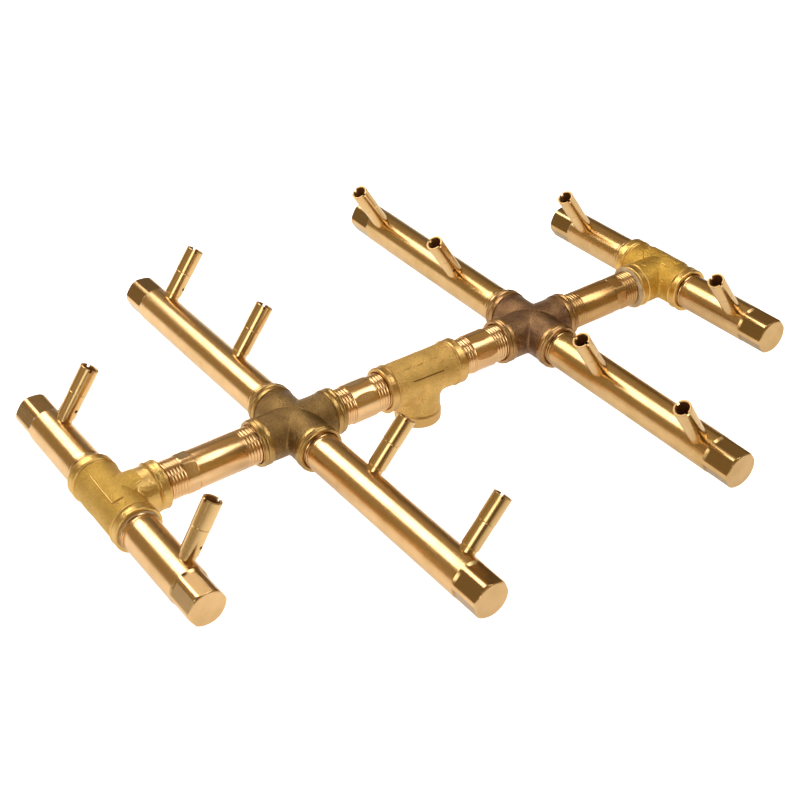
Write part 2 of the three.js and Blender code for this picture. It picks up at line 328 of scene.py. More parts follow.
def forging(ports, blend, relief):
    """Distance to a fitting with filleted crotches, open sockets and surface relief."""

    def distance(p):
        parts = [(port, *port.split(p)) for port in ports]
        port, s, radius, normal = parts[0]
        outside = port.outer(s, radius)
        inside = port.inner(s, radius)
        for other, s2, radius2, normal2 in parts[1:]:
            facing = np.clip((normal * normal2).sum(axis=1), 0, 1)
            crotch = blend * (1 - facing) + CROTCH_MIN
            outside = smooth_min(outside, other.outer(s2, radius2), crotch)
            inside = np.minimum(inside, other.inner(s2, radius2))
        outside = outside - relief(p)
        return smooth_max(outside, -inside, BORE_ROUND)

    return distance


def slope_of(distance, points):
    """The distance's gradient at the points."""
    steps = np.eye(3) * SLOPE_STEP
    change = [distance(points + step) - distance(points - step) for step in steps]
    return np.stack(change, axis=1) / (2 * SLOPE_STEP)


def pulled(distance, points, reach=np.inf):
    """The points moved one step towards where the distance is zero, no further than their reach."""
    slope = slope_of(distance, points)
    size = np.maximum((slope ** 2).sum(axis=1), FLATTEST)
    return points + np.clip(-(distance(points) / size)[:, None] * slope, -reach, reach)


def settled(distance, points):
    """The points pulled onto the surface, and the surface's outward direction there."""
    for _ in range(6):
        points = pulled(distance, points)
    slope = slope_of(distance, points)
    return points, slope / np.linalg.norm(slope, axis=1)[:, None]


def surface_net(distance, ticks):
    """Quads on the surface where distance is zero, their corners pulled right onto it."""
    counts = np.array([len(t) for t in ticks])
    grid = np.stack(np.meshgrid(*ticks, indexing="ij"), axis=-1)
    inside = (distance(grid.reshape(-1, 3)) < 0).reshape(counts)
    cells = counts - 1
    filled = np.zeros(cells, int)
    for i, j, k in itertools.product((0, 1), repeat=3):
        filled += inside[i:i + cells[0], j:j + cells[1], k:k + cells[2]]
    mixed = (filled > 0) & (filled < 8)
    number = np.full(cells, -1)
    number[mixed] = np.arange(mixed.sum())
    spots = np.argwhere(mixed)
    low = np.stack([t[spots[:, i]] for i, t in enumerate(ticks)], axis=1)
    high = np.stack([t[spots[:, i] + 1] for i, t in enumerate(ticks)], axis=1)
    points = (low + high) / 2
    for _ in range(8):
        points = pulled(distance, points, (high - low) * NET_REACH)
    faces = []
    for axis in range(3):
        u, v = (axis + 1) % 3, (axis + 2) % 3
        here = np.take(inside, np.arange(cells[axis]), axis)
        there = np.take(inside, np.arange(1, counts[axis]), axis)
        crossed = np.argwhere(here != there)
        du, dv = np.eye(3, dtype=int)[u], np.eye(3, dtype=int)[v]
        corners = ((1, 1), (0, 1), (0, 0), (1, 0))
        ring = np.stack([number[tuple((crossed - a * du - b * dv).T)] for a, b in corners], axis=1)
        outward = here[tuple(crossed.T)]
        ring[~outward] = ring[~outward][:, ::-1]
        faces.append(ring)
    return points, np.concatenate(faces).tolist()


def ripple(p, size, seed):
    """Slow unevenness of a forged surface, between about -1 and 1."""
    rng = np.random.default_rng(seed)
    total = np.zeros(len(p))
    for _ in range(6):
        wave = rng.normal(size=3)
        wave *= TAU / (size * rng.uniform(0.7, 1.5)) / np.linalg.norm(wave)
        total += np.sin(p @ wave + rng.uniform(0, TAU))
    return total / 3


def left_branch_machined(p):
    """Where the cutter reached along the left end tee's branch, further in below a step in its edge."""
    degrees = np.degrees(np.arctan2(-p[:, 1], p[:, 2]))
    edge = 13.8 - 4.2 * smooth_step(degrees, 23.0, 26.0)
    edge -= 1.4 * smooth_step(degrees, 34.0, 60.0)
    return smooth_step(p[:, 0] - edge, -0.12, 0.12) * (np.hypot(p[:, 1], p[:, 2]) < 13.4)


def unmachined(p):
    return np.zeros(len(p))


def left_tee_relief(p):
    """A forged skin with the turned end of the branch a little lower."""
    return 0.10 * ripple(p, 16, 3) - 0.22 * left_branch_machined(p)


def right_tee_relief(p):
    """A forged skin with a raised pad along the back of the run."""
    along = smooth_step(-np.abs(p[:, 1]), -13.6, -12.0)
    return 0.9 * along * smooth_step(p[:, 0] / BODY_R, -0.25, 0.35) + 0.12 * ripple(p, 14, 5)


def centre_tee_relief(p):
    return 0.08 * ripple(p, 15, 7)


def cross_relief(seed):
    def relief(p):
        return 0.12 * ripple(p, 13, seed)
    return relief


def add_fitting(name, slot, at, material, reach, ports, collars, blend, relief,
                lines=(), scores=(), machined=unmachined):
    """A forging meshed from its distance, its turned collars, and its raised and scored lines."""
    ends = [size + NET_MARGIN for size in reach]
    ticks = [np.linspace(-end, end, int(size / NET_CELL) + 5) for end, size in zip(ends, reach)]
    distance = forging(ports, blend, relief)
    cutters = [cord(*settled(distance, thickly(points)), width) for points, width in scores]
    whole = scored(surface_net(distance, ticks), cutters)
    shared = len(whole[0])
    for profile, axis, face in collars:
        whole = join(whole, collar(profile, axis, face))
    for points, width in lines:
        path, up = settled(distance, thickly(points))
        whole = join(whole, cord(path + up * LINE_LIFT, up, width))
    piece = make(name + "_forging", *whole, at, material, [name], slot)
    local = finish_mesh(piece, FORGING_SHARP, at)
    smooth_forging(piece, distance, local, at)
    polish = np.ones(len(local))
    polish[:shared] = machined(local[:shared])
    # Painted shade: points below the forged skin, down in the scored lines, are darkened by the material.
    groove_shade = np.zeros(len(local))
    groove_shade[:shared] = smooth_step(-distance(local[:shared]), SCORE_SHALLOW, SCORE_DEEP)
    store(piece.data, "polish", polish)
    store(piece.data, "groove_shade", groove_shade)


def scored(body, cutters):
    """The body with thin lines cut into it."""
    if not cutters:
        return body
    obj = show("body", mesh_of("body", *body, np.eye(4)))
    for verts, faces in cutters:
        cut(obj, verts, faces, np.eye(4))
    verts = read(obj.data.vertices, "co", 3) / MM
    faces = [tuple(polygon.vertices) for polygon in obj.data.polygons]
    bpy.data.meshes.remove(obj.data)
    return verts, faces


def smooth_forging(piece, distance, local, at):
    """Shades the forged skin by the true direction of its surface; edges and cuts keep their own."""
    mesh = piece.data
    slope = slope_of(distance, local)
    skin = (slope / np.maximum(np.linalg.norm(slope, axis=1), 1e-6)[:, None]) @ at[:3, :3].T
    near = np.abs(distance(local)) < SKIN_NEAR
    corner = read(mesh.loops, "vertex_index", kind=int)
    own = read(mesh.corner_normals, "vector", 3)
    sizes = read(mesh.polygons, "loop_total", kind=int)
    flat = np.repeat(read(mesh.polygons, "normal", 3), sizes, axis=0)
    agrees = near[corner] & ((flat * skin[corner]).sum(axis=1) > SKIN_AGREES)
    own[agrees] = skin[corner][agrees]
    mesh.normals_split_custom_set(own.tolist())


def join(a, b):
    """Two shells as one list of points and one of faces."""
    shift = len(a[0])
    return np.concatenate([a[0], b[0]]), list(a[1]) + [tuple(shift + i for i in f) for f in b[1]]


def on_run(axes, marks):
    """Points on a round body from (distance along it, degrees round it from zero towards ahead)."""
    axis, zero, ahead = axes
    points = []
    for along, degrees in marks:
        a = math.radians(degrees)
        points.append(axis * along + (zero * math.cos(a) + ahead * math.sin(a)) * BODY_R)
    return np.array(points)


def thickly(points, gap=0.7):
    """The same path with points no further apart than the gap."""
    dense = [points[0]]
    for a, b in zip(points, points[1:]):
        count = max(2, int(np.linalg.norm(b - a) / gap))
        dense += [a + (b - a) * t for t in np.linspace(0, 1, count + 1)[1:]]
    return np.array(dense)


def cord(path, up, width, sides=8):
    """A thin closed bead along a path on a surface: a raised line, or the cutter of a scored one."""
    along = np.gradient(path, axis=0)
    along /= np.linalg.norm(along, axis=1)[:, None]
    side = np.cross(up, along)
    side /= np.linalg.norm(side, axis=1)[:, None]
    taper = np.full(len(path), width)
    taper[0] = taper[-1] = 0.35 * width
    rings = []
    for i, centre in enumerate(path):
        for t in np.arange(sides) * TAU / sides:
            rings.append(centre + (side[i] * math.cos(t) + up[i] * math.sin(t)) * taper[i])
    faces = []
    for i in range(len(path) - 1):
        for j in range(sides):
            k = (j + 1) % sides
            faces.append((i * sides + j, i * sides + k, (i + 1) * sides + k, (i + 1) * sides + j))
    faces.append(tuple(range(sides))[::-1])
    faces.append(tuple((len(path) - 1) * sides + j for j in range(sides)))
    return np.array(rings), faces


# ---- Threads, nipples, arms and jets ----

SIDES = 120
ANGLE = np.arange(SIDES) * TAU / SIDES
THREAD_STEP = 0.125
THREAD_IN = 1.7  # how far the thread goes on inside a mouth before the plain spigot
SOFT_IN = 14  # stretch inside a mouth, past the spigot's end, that is shaded soft like the thread
THREAD_DEEP = 0.55  # depth of a nipple's thread inside its mouth
HEXAGON_EASE = 0.35  # length over which a hexagon's ends are eased
NIPPLE_SHARP, ARM_SHARP, JET_SHARP, SEAL_SHARP = 20, 14, 30, 60


def thread_rings(low, high, depth_low, depth_high):
    """Rings of a helical thread whose depth changes evenly from one end to the other."""
    count = max(2, int(abs(high - low) / THREAD_STEP))
    rings = []
    for t in np.linspace(0, 1, count):
        z = low + t * (high - low)
        depth = depth_low + t * (depth_high - depth_low)
        rings.append((PIPE_R - depth * tooth(z / PITCH - ANGLE / TAU), z))
    return rings


def polygon_radius(apothem, corner, first):
    """Radius over the sides of a hexagon with rounded-off corners, one corner at 'first'."""
    part = (ANGLE - math.radians(first)) % (TAU / 6) - TAU / 12
    return np.minimum(corner, apothem / np.cos(part))


def mirrored(rings):
    return [(radius, -height) for radius, height in reversed(rings)]


def spigot(mouth, out):
    """Rings of the hidden end of a male thread, from its tip to just inside its chamfer."""
    chamfer = 0.5
    tip = (SPIGOT_R - chamfer, mouth + out * SPIGOT_DEPTH)
    return [tip, (SPIGOT_R, mouth + out * (SPIGOT_DEPTH - chamfer))]


def add_nipple(kind, side, material, middle, rings, soft):
    """Lathes a nipple, its own Z pointing away from the middle of the burner."""
    sign = SIGN[side]
    at = place(basis(sign * X, -Y), (sign * middle, 0, AXIS_HEIGHT))
    name = f"{kind}_nipple_{side}"
    nipple = make(name + "_turned", *lathe(rings, SIDES), at, material, [name], "nipple_brass")
    finish_mesh(nipple, NIPPLE_SHARP, at, soft)


def add_short_nipple(side, material):
    """Threads out to both mouths, and between them a plain grip with worn wrench marks."""
    half = (CROSS_X - CROSS_RUN - TEE_RUN) / 2
    grip, plain, apothem, crown, first_corner = 7.5, 11.25, 10.93, 0.33, 12
    upper = []
    for z in np.linspace(0.0, grip - HEXAGON_EASE, 9)[1:]:
        lens = polygon_radius(apothem + crown * (z / grip) ** 2, plain, first_corner)
        upper.append((lens, z))
    upper.append((plain - 0.3, grip))
    upper.append((PIPE_R, grip + 0.12))
    upper += thread_rings(grip + 0.3, half + THREAD_IN, 0.4, THREAD_DEEP)
    upper += reversed(spigot(half, 1))
    rings = mirrored(upper) + [(polygon_radius(apothem, plain, first_corner), 0.0)] + upper
    soft = [(grip + 0.2, half + SOFT_IN), (-half - SOFT_IN, -grip - 0.2)]
    add_nipple("short", side, material, TEE_RUN + half, rings, soft)


LONG_GRIP_FROM, LONG_GRIP_LENGTH = 11.2, 7.0  # from the end tee's mouth


def add_long_nipple(side, material):
    """Threads at both ends, a plain pipe and a narrow hexagonal grip near the end tee."""
    inner, outer = CROSS_X + CROSS_RUN, abs(END_TEE_X[side]) - END_BRANCH
    half = (outer - inner) / 2
    top = half - LONG_GRIP_FROM
    bottom = top - LONG_GRIP_LENGTH
    first_corner = {"left": 12, "right": 15}[side]
    hexagon = polygon_radius(10.24, 10.97, first_corner)
    eased = polygon_radius(10.2, 10.8, first_corner)
    rings = spigot(-half, -1)
    rings += thread_rings(-half - THREAD_IN, -half + 8.6, THREAD_DEEP, 0.25)
    rings += [(PIPE_R, -half + 8.9), (PIPE_R, bottom - 0.15), (eased, bottom)]
    rings += [(hexagon, bottom + HEXAGON_EASE), (hexagon, (bottom + top) / 2)]
    rings += [(hexagon, top - HEXAGON_EASE), (eased, top), (PIPE_R, top + 0.12)]
    rings += thread_rings(top + 0.6, half + THREAD_IN, 0.42, THREAD_DEEP)
    rings += reversed(spigot(half, 1))
    soft = [(-half - SOFT_IN, bottom - 0.3), (top + 0.2, half + SOFT_IN)]
    add_nipple("long", side, material, inner + half, rings, soft)


HEX_LENGTH = 17.4
HEX_APOTHEM = 9.75
STRIP_CROWN, STRIP_HALF = 0.08, 6  # the strips between the flats fall away this much, over 6 degrees
ARM_TIP = [  # turned radius, distance back from the tip
    (10.67, 1.2), (10.52, 0.85), (10.25, 0.55), (9.95, 0.32), (9.62, 0.12), (9.25, 0.0),
]
EXPOSED_THREAD = {"rear": 5.2, "front": 3.0}
ARM_THREAD_DEEP, ARM_THREAD_END = 0.6, 0.1  # depth inside the mouth and where the thread runs out
JET_HOLE_R = 3.95
SHADED_FLAT_EDGE, SHADED_FLAT_R = 0.6, 10.45  # the painted shade on the wrench flats keeps this far from the ends and inside this radius


def add_arm(kind, side, end, face, group, material):
    """A bar with a threaded inner end, wrench flats at its tip, and its jets."""
    name = f"{kind}_{side}_{end}"
    lean, out = ARM_SET[name]
    count = 2 if kind == "long" else 1
    tip = JET_FIRST + (count - 1) * JET_PITCH + ARM_END_MARGIN
    mouth = face - out
    plain = mouth + EXPOSED_THREAD[end]
    flats = tip - HEX_LENGTH
    from_corner = np.minimum(np.abs((np.degrees(ANGLE) + 30) % 60 - 30) / STRIP_HALF, 1)
    crowned = PIPE_R - STRIP_CROWN * from_corner ** 2
    hexagon = np.minimum(polygon_radius(HEX_APOTHEM, PIPE_R, 0), crowned)
    rings = spigot(mouth, -1)
    rings += thread_rings(mouth - THREAD_IN, plain, ARM_THREAD_DEEP, ARM_THREAD_END)
    rings += [(PIPE_R, plain + 0.3)]
    rings += [(PIPE_R, z) for z in np.linspace(mouth + 8, flats - 1, 4 + 6 * count)]
    rings += [(PIPE_R, flats - 0.5), (hexagon, flats + 1.0), (hexagon, flats + 1.1)]
    rings += [(hexagon, z) for z in np.linspace(flats + 2, tip - 2.0, 4)]
    rings += [(np.minimum(hexagon, cone), tip - back) for cone, back in ARM_TIP]
    outward = SIDE[end]
    a = math.radians(lean)
    jets_to = np.array([-SIGN[side] * math.sin(a), 0, math.cos(a)])
    at = group @ place(basis(outward, jets_to), outward * out)
    arm = make(f"arm_{name}_bar", *lathe(rings, SIDES), at, material, [f"arm_{name}"], "arm_brass")
    seats = {}
    for key, distance in zip(JET_ENDINGS[kind], (JET_FIRST, JET_FIRST + JET_PITCH)):
        seats[name + key] = group @ place(basis(jets_to, -Y), outward * (out + distance))
    for seat in seats.values():
        cut(arm, *rod(JET_HOLE_R, 4.0, PIPE_R + 2, 24), seat)
    finish_mesh(arm, ARM_SHARP, at, [(0, mouth + 7)])
    mark_shaded_flats(arm, flats, tip)
    for key, seat in seats.items():
        add_jet(key, seat, MATERIALS["jet"])


def mark_shaded_flats(arm, flats, tip):
    """Marks the wrench flats, away from their edges, for the arm's material to paint shade on."""
    local = read(arm.data.attributes["local"].data, "vector", 3, np.float32)
    x, y, z = local.T
    inside = (np.hypot(x, y) < SHADED_FLAT_R) & (z > flats + SHADED_FLAT_EDGE) & (z < tip - SHADED_FLAT_EDGE)
    store(arm.data, "shaded_flats", inside)


JET_SIDES = 64
JET_ANGLE = np.arange(JET_SIDES) * TAU / JET_SIDES
JET_SEAM, JET_TIP = 27.4, 42.2  # heights above the arm's axis of a jet that is not sunk deeper
JET_STEM_R, JET_TUBE_R, JET_BORE_R, JET_NECK_R, JET_FOOT_R = 4.9, 5.05, 3.85, 4.45, 3.6
ORIFICE_R = 0.9
AIR_HOLE_R, AIR_HOLE_HEIGHT = 0.95, 18.0
SLOT_REACH, SLOT_HALF_WIDTH, SLOT_DEPTH = 8.0, 0.75, 1.6
SLOT_FACES = [(0, 1, 3, 2), (4, 6, 7, 5), (0, 4, 5, 1), (2, 3, 7, 6), (0, 2, 6, 4), (1, 5, 7, 3)]


def saddle(radius):
    """Height of a ring of the jet's foot that stands just clear of the arm's surface."""
    return np.sqrt((PIPE_R + 0.05) ** 2 - (radius * np.sin(JET_ANGLE)) ** 2)


def add_jet(key, at, material):
    """A tube with a foot in the arm, a seam, an orifice, an air hole and a slotted tip."""
    hole, slot, sunk = JET_SET[key]
    seam, tip = JET_SEAM - sunk, JET_TIP - sunk
    foot, neck, stem, tube, bore = JET_FOOT_R, JET_NECK_R, JET_STEM_R, JET_TUBE_R, JET_BORE_R
    rings = [
        # the foot in the arm's hole, and the neck that stands on the arm
        (foot - 0.1, 7.5), (foot, 7.7), (foot, saddle(foot)), (neck, saddle(neck)),
        # the stem and the seam below the tube
        (neck, 12.6 - sunk), (stem - 0.2, 12.75 - sunk), (stem, 13.0 - sunk), (stem, 20.0),
        (stem, seam - 0.45), (stem - 0.12, seam - 0.3), (stem - 0.14, seam - 0.05),
        # the tube up to its rim
        (tube - 0.12, seam + 0.05), (tube, seam + 0.2), (tube, seam + 5.0),
        (tube, tip - 3.0), (tube, tip - 0.2), (tube - 0.15, tip),
        # down the bore to the orifice
        (bore + 0.2, tip), (bore, tip - 0.25), (bore, tip - 6.0), (bore, 15.4 - sunk),
        (ORIFICE_R, 14.2 - sunk), (ORIFICE_R, 9.0),
    ]
    verts, faces = lathe(rings, JET_SIDES)
    jet = make(f"jet_{key}_turned", verts, faces, at, material, [f"jet_{key}"], "jet_brass")
    tool = turn(Z, hole) @ basis(X, Y)
    verts, faces = rod(AIR_HOLE_R, 2.0, 7.0, 16)
    cut(jet, verts @ tool.T + (0, 0, AIR_HOLE_HEIGHT - sunk), faces, at)
    corners = itertools.product(*((-size, size) for size in (SLOT_REACH, SLOT_HALF_WIDTH, SLOT_DEPTH)))
    cut(jet, np.array(list(corners)) @ turn(Z, slot).T + (0, 0, tip), SLOT_FACES, at)
    finish_mesh(jet, JET_SHARP, at)


# ---- Sealant that squeezed out where a joint was pulled up ----

def add_seal(fitting, port, group, face, swell):
    """The sleeve in the thread, carried on into an uneven bead round the mouth."""
    rng = np.random.default_rng(len(fitting) + int(10 * swell))
    lumps = np.zeros(SIDES)
    for waves in (2, 3, 5, 9, 14, 23):
        lumps += rng.uniform(0.3, 1.0) * np.sin(waves * ANGLE + rng.uniform(0, TAU)) / math.sqrt(waves)
    lumps = swell * (1 + 0.3 * lumps / np.abs(lumps).max())
    rings = [
        # the sleeve
        (10.2, face - 12), (10.5, face - 12), (10.55, face - 2.1),
        (10.8, face - 0.6), (11.2, face + 0.02),
        # the bead
        (11.2 + 0.9 * lumps, face + 0.05), (11.3 + 1.1 * lumps, face + 0.25 * lumps + 0.05),
        (11.2 + 0.9 * lumps, face + 0.6 * lumps), (11.0 + 0.3 * lumps, face + 0.85 * lumps),
        (10.7, face + 0.95 * lumps), (10.2, face + 0.3),
    ]
    verts, faces = lathe(rings[::-1], SIDES, closed=True)
    node = f"sealant_{fitting}_{port}"
    at = group @ place(basis(SIDE[port], Z), np.zeros(3))
    bead = make(node + "_bead", verts, faces, at, MATERIALS["seal"], [node], "thread_seal")
    finish_mesh(bead, SEAL_SHARP, at)


# ---- Materials ----

class Nodes:
    """Short ways to add and link shader nodes."""

    def __init__(self, owner):
        owner.use_nodes = True
        self.owner = owner
        self.tree = owner.node_tree

    def add(self, kind, inputs=None, **settings):
        node = self.tree.nodes.new(kind)
        for key, value in settings.items():
            setattr(node, key, value)
        for key, value in (inputs or {}).items():
            self.set(node.inputs[key], value)
        return node

    def set(self, socket, value):
        if isinstance(value, bpy.types.NodeSocket):
            self.tree.links.new(value, socket)
        else:
            socket.default_value = value

    def split(self, vector):
        return self.add("ShaderNodeSeparateXYZ", {0: vector}).outputs

    def noise(self, vector, scale, detail=3.0, roughness=0.55):
        inputs = {"Vector": vector, "Scale": scale, "Detail": detail, "Roughness": roughness}
        return self.add("ShaderNodeTexNoise", inputs).outputs["Fac"]

    def ramp(self, value, low, high, to=(0.0, 1.0), **settings):
        inputs = {"Value": value, "From Min": low, "From Max": high, "To Min": to[0], "To Max": to[1]}
        return self.add("ShaderNodeMapRange", inputs, **settings).outputs["Result"]

    def mix(self, amount, a, b):
        """A colour between a and b."""
        return self.add("ShaderNodeMix", {0: amount, 6: a, 7: b}, data_type="RGBA").outputs[2]

    def maths(self, operation, a, b=0.0):
        return self.add("ShaderNodeMath", {0: a, 1: b}, operation=operation).outputs[0]

    def vector_maths(self, operation, inputs):
        return self.add("ShaderNodeVectorMath", inputs, operation=operation).outputs


class Surface(Nodes):
    """The nodes of one material, with its shader's sockets."""

    def __init__(self, name):
        super().__init__(bpy.data.materials.new(name))
        self.shader = self.tree.nodes["Principled BSDF"]

    def shade(self, **sockets):
        """Sets or links the shader's sockets: base_color is Base Color."""
        for key, value in sockets.items():
            self.set(self.shader.inputs[key.replace("_", " ").title()], value)

    def shaded(self, socket):
        """What is linked to one of the shader's sockets now."""
        return self.shader.inputs[socket].links[0].from_socket

    def kept(self, name, output="Fac"):
        """What the piece's points keep under a name."""
        return self.add("ShaderNodeAttribute", attribute_name=name).outputs[output]

    def local(self, scale=(1, 1, 1)):
        """Place in the piece, in millimetres."""
        inputs = {"Vector": self.kept("local", "Vector"), "Scale": scale}
        return self.add("ShaderNodeMapping", inputs).outputs["Vector"]

    def bump(self, height, strength, distance, normal=None):
        inputs = {"Height": height, "Strength": strength, "Distance": distance}
        if normal is not None:
            inputs["Normal"] = normal
        return self.add("ShaderNodeBump", inputs).outputs["Normal"]


def colour(r, g, b):
    return (r, g, b, 1.0)


STREAK = (6, 6, 0.15)  # stretch of the tool marks, which run along the piece
# painted shade on the wrench flats: how dark, as a part of the worn colour, and how much of it
FLAT_SHADE, FLAT_SHADE_AMOUNT = 0.45, 0.7
# colour of the painted shade down the scored lines of a forging
GROOVE_SHADE = colour(0.22, 0.13, 0.04)
# colour of the painted shade down a jet's bore
BORE_SHADE = colour(0.62, 0.38, 0.17)


def turned_surface(name, base, worn, rough):
    """Bright machined brass: faint streaks, handling smears, fine tool marks and painted shade on the marked
    wrench flats.
    """
    n = Surface(name)
    cloud = n.noise(n.local(), 0.06, 4.0)
    streaks = n.noise(n.local(STREAK), 0.5)
    tone = n.mix(n.ramp(cloud, 0.35, 0.7), base, worn)
    tone = n.mix(n.ramp(streaks, 0.3, 0.75, (0.0, 0.25)), tone, worn)
    # painted shade: the marked wrench flats are darkened towards the worn colour
    shaded_flats = n.maths("MULTIPLY", n.kept("shaded_flats"), FLAT_SHADE_AMOUNT)
    tone = n.mix(shaded_flats, tone, colour(*(FLAT_SHADE * c for c in worn[:3])))
    smears = n.ramp(cloud, 0.3, 0.7, (rough - 0.03, rough + 0.05))
    roughness = n.maths("ADD", smears, n.ramp(streaks, 0.3, 0.7, (0.0, 0.05)))
    fine = n.noise(n.local(STREAK), 3.0, 2.0)
    n.shade(base_color=tone, metallic=1.0, roughness=roughness, normal=n.bump(fine, 0.06, 0.0002))
    return n


def turned_brass(name, base, worn, rough):
    return turned_surface(name, base, worn, rough).owner


def jet_brass(name, base, worn, rough):
    """Turned brass that is duller on the rim and down the bore, with painted shade darkening the bore's
    colour.
    """
    n = turned_surface(name, base, worn, rough)
    x, y, z = n.split(n.local())
    across = n.maths("SQRT", n.maths("ADD", n.maths("POWER", x, 2.0), n.maths("POWER", y, 2.0)))
    inside = n.ramp(across, 4.2, 3.95)
    rim = n.maths("MULTIPLY", n.ramp(across, 4.98, 4.9), n.ramp(z, 37.5, 38.0))
    dull = n.maths("MAXIMUM", n.maths("MULTIPLY", inside, 0.3), n.maths("MULTIPLY", rim, 0.35))
    # painted shade: the bore's colour is darkened
    n.shade(base_color=n.mix(inside, n.shaded("Base Color"), BORE_SHADE),
            roughness=n.maths("ADD", n.shaded("Roughness"), dull))
    return n.owner


def forged_brass(name, base, dark, turned, rough, tarnish):
    """Blasted forging, grainy and matt, with glossier collars and casting lines, and painted shade down its
    scored lines.
    """
    n = Surface(name)
    polish = n.kept("polish")
    matt = n.ramp(polish, 0.0, 1.0, (1.0, 0.25))
    patches = n.noise(n.local(), 0.09, 5.0, 0.6)
    grain = n.noise(n.local(), 1.1, 4.0, 0.62)
    tone = n.mix(n.maths("MULTIPLY", n.ramp(patches, 0.32, 0.68), tarnish), base, dark)
    pits = n.maths("MULTIPLY", n.ramp(grain, 0.42, 0.66, (0.0, 0.6)), matt)
    skin = n.mix(pits, tone, dark)
    bright = n.mix(n.ramp(patches, 0.3, 0.75, (0.0, 0.45)), turned, dark)
    finish = n.maths("MULTIPLY", matt, rough - 0.28)
    lumps = n.noise(n.local(), 0.5)
    uneven = n.bump(lumps, 0.25, 0.001)
    # the painted shade down the scored lines goes over the rest of the colour
    n.shade(base_color=n.mix(n.kept("groove_shade"), n.mix(polish, skin, bright), GROOVE_SHADE),
            metallic=1.0,
            roughness=n.maths("ADD", n.ramp(grain, 0.25, 0.75, (0.24, 0.36)), finish),
            normal=n.bump(n.maths("MULTIPLY", grain, matt), 0.8, 0.0007, uneven))
    return n.owner


CHALK, CHALK_SHADED, CHALK_CRUMBS = (
    colour(0.76, 0.59, 0.37), colour(0.55, 0.39, 0.22), colour(0.34, 0.25, 0.19))


def chalky_seal(name):
    """Dried sealant: beige with darker patches, crumbly and quite matt."""
    n = Surface(name)
    where = n.add("ShaderNodeTexCoord").outputs["Object"]
    patches = n.noise(where, 260.0, 4.0)
    crumbs = n.noise(where, 1900.0, 5.0, 0.7)
    tone = n.mix(n.ramp(patches, 0.38, 0.62), CHALK, CHALK_SHADED)
    n.shade(base_color=n.mix(n.ramp(crumbs, 0.45, 0.75, (0.0, 0.6)), tone, CHALK_CRUMBS),
            roughness=n.ramp(crumbs, 0.2, 0.8, (0.75, 0.95)),
            normal=n.bump(crumbs, 0.8, 0.0004))
    return n.owner


MATERIALS = {"seal": chalky_seal("seal_chalk")}
for key, make_surface, *look in (  # base and worn colour, roughness
    ("arm", turned_brass, colour(0.78, 0.52, 0.27), colour(0.66, 0.43, 0.19), 0.2),
    ("nipple", turned_brass, colour(0.83, 0.55, 0.29), colour(0.70, 0.45, 0.21), 0.18),
    ("arm_right", turned_brass, colour(0.71, 0.48, 0.24), colour(0.56, 0.36, 0.14), 0.2),
    ("nipple_right", turned_brass, colour(0.62, 0.38, 0.16), colour(0.50, 0.29, 0.11), 0.22),
    ("jet", jet_brass, colour(0.76, 0.52, 0.25), colour(0.64, 0.42, 0.18), 0.15),
):
    MATERIALS[key] = make_surface(key + "_brass", *look)
for key, *look in (  # base, tarnished and turned colour, roughness and amount of tarnish
    ("tee", colour(0.90, 0.60, 0.20), colour(0.54, 0.34, 0.10), colour(0.70, 0.45, 0.17), 0.46, 0.75),
    ("tee_left", colour(0.72, 0.47, 0.12), colour(0.50, 0.31, 0.07), colour(0.74, 0.49, 0.17), 0.50, 0.7),
    ("tee_right", colour(0.92, 0.60, 0.12), colour(0.52, 0.31, 0.06), colour(0.84, 0.56, 0.19), 0.42, 0.9),
    ("cross", colour(0.43, 0.27, 0.10), colour(0.17, 0.10, 0.04), colour(0.56, 0.36, 0.13), 0.36, 0.9),
    ("cross_right", colour(0.46, 0.27, 0.13), colour(0.15, 0.08, 0.05), colour(0.52, 0.31, 0.13), 0.33, 1.0),
):
    MATERIALS[key] = forged_brass(key + "_brass", *look)


# ---- Casting lines: points on a run and the line's width ----

END_RUN_AXES = (Y, Z, X)
ACROSS_AXES = (X, Z, -Y)

LEFT_LINES = [
    (on_run(END_RUN_AXES, [(13.0, -28), (12, -28), (-11.4, -30), (-12.4, -30)]), 0.38),
    (on_run(END_RUN_AXES, [(-12.4, -30), (-12.7, -13), (-12.6, -2)]), 0.38),
    (on_run(ACROSS_AXES, [(9.6, 27), (13.7, 23), (13.9, 4), (13.7, -10)]), 0.28),
    (on_run(ACROSS_AXES, [(6.0, 45), (8.6, 36), (9.7, 27)]), 0.3),
]
RIGHT_LINES = [
    (on_run(END_RUN_AXES, [(13.0, 4), (9.0, 1), (8.2, 8)]), 0.34),
    (on_run(END_RUN_AXES, [(5.6, -4), (5.2, 9)]), 0.36),
    (on_run(END_RUN_AXES, [(1.8, 10), (-0.4, 4), (-2.6, 11)]), 0.34),
    (on_run(END_RUN_AXES, [(-6.2, 2), (-10.4, 5), (-12.8, 0)]), 0.34),
    (on_run(END_RUN_AXES, [(-5.0, -22), (-9.6, -20)]), 0.36),
    (on_run(ACROSS_AXES, [(-13.6, -8), (-16.8, 4), (-15.6, 14)]), 0.32),
    (on_run(END_RUN_AXES, [(11.3, -19), (10.2, -24), (7.8, -35), (7.0, -44)]), 0.36),
    (on_run(END_RUN_AXES, [(-1.1, -40), (-3.8, -40)]), 0.42),
]
